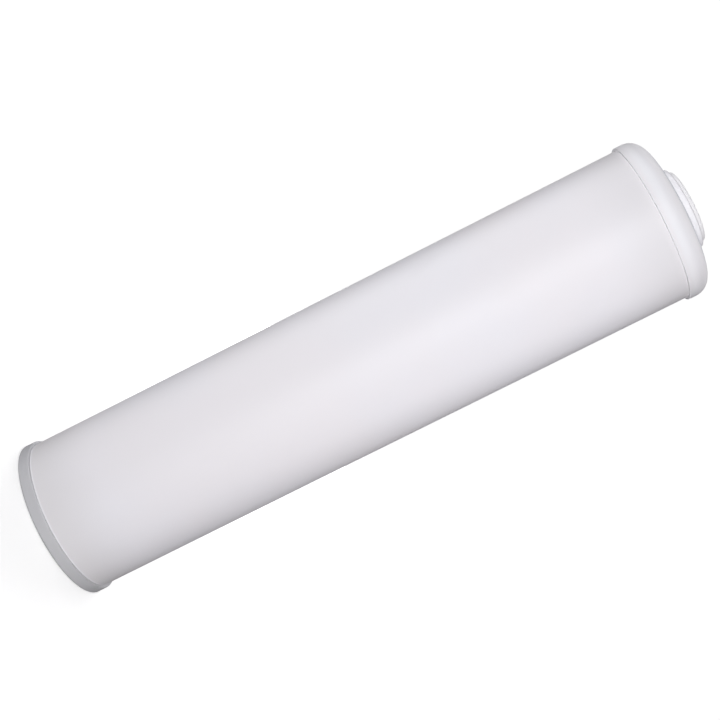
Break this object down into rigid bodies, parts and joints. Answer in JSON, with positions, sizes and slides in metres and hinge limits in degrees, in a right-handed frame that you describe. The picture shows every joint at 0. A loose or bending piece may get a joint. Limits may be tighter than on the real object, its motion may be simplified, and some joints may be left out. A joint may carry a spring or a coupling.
{
  "type": "carbon filter cartridge",
  "caption": "White cylindrical carbon filter cartridge with a slotted grey inlet cap, a round-shouldered outlet cap and a soft sealing ring around its outlet bore.",
  "frame": {"origin": "centre of the foot ring, on the plane that the cartridge stands on", "axes": "+Z along the cartridge's axis, from the inlet cap up to the outlet gasket"},
  "size_m": [0.12, 0.12, 0.508],
  "materials": {
    "shell_plastic": "satin white, extruded",
    "inlet_plastic": "satin light grey, moulded",
    "outlet_plastic": "satin white, moulded",
    "gasket_rubber": "soft white",
    "foam": "open-cell foam",
    "felt": "needled felt",
    "granular_carbon": "black grains"
  },
  "bodies": {
    "root": {"shell_tube": "shell_plastic", "inlet_end_cap": "inlet_plastic", "outlet_end_cap": "outlet_plastic", "outlet_gasket": "gasket_rubber", "expansion_foam_pad": "foam", "inlet_felt_pad": "felt", "post_filter_pad": "felt", "carbon_bed": "granular_carbon"}
  },
  "joints": []
}
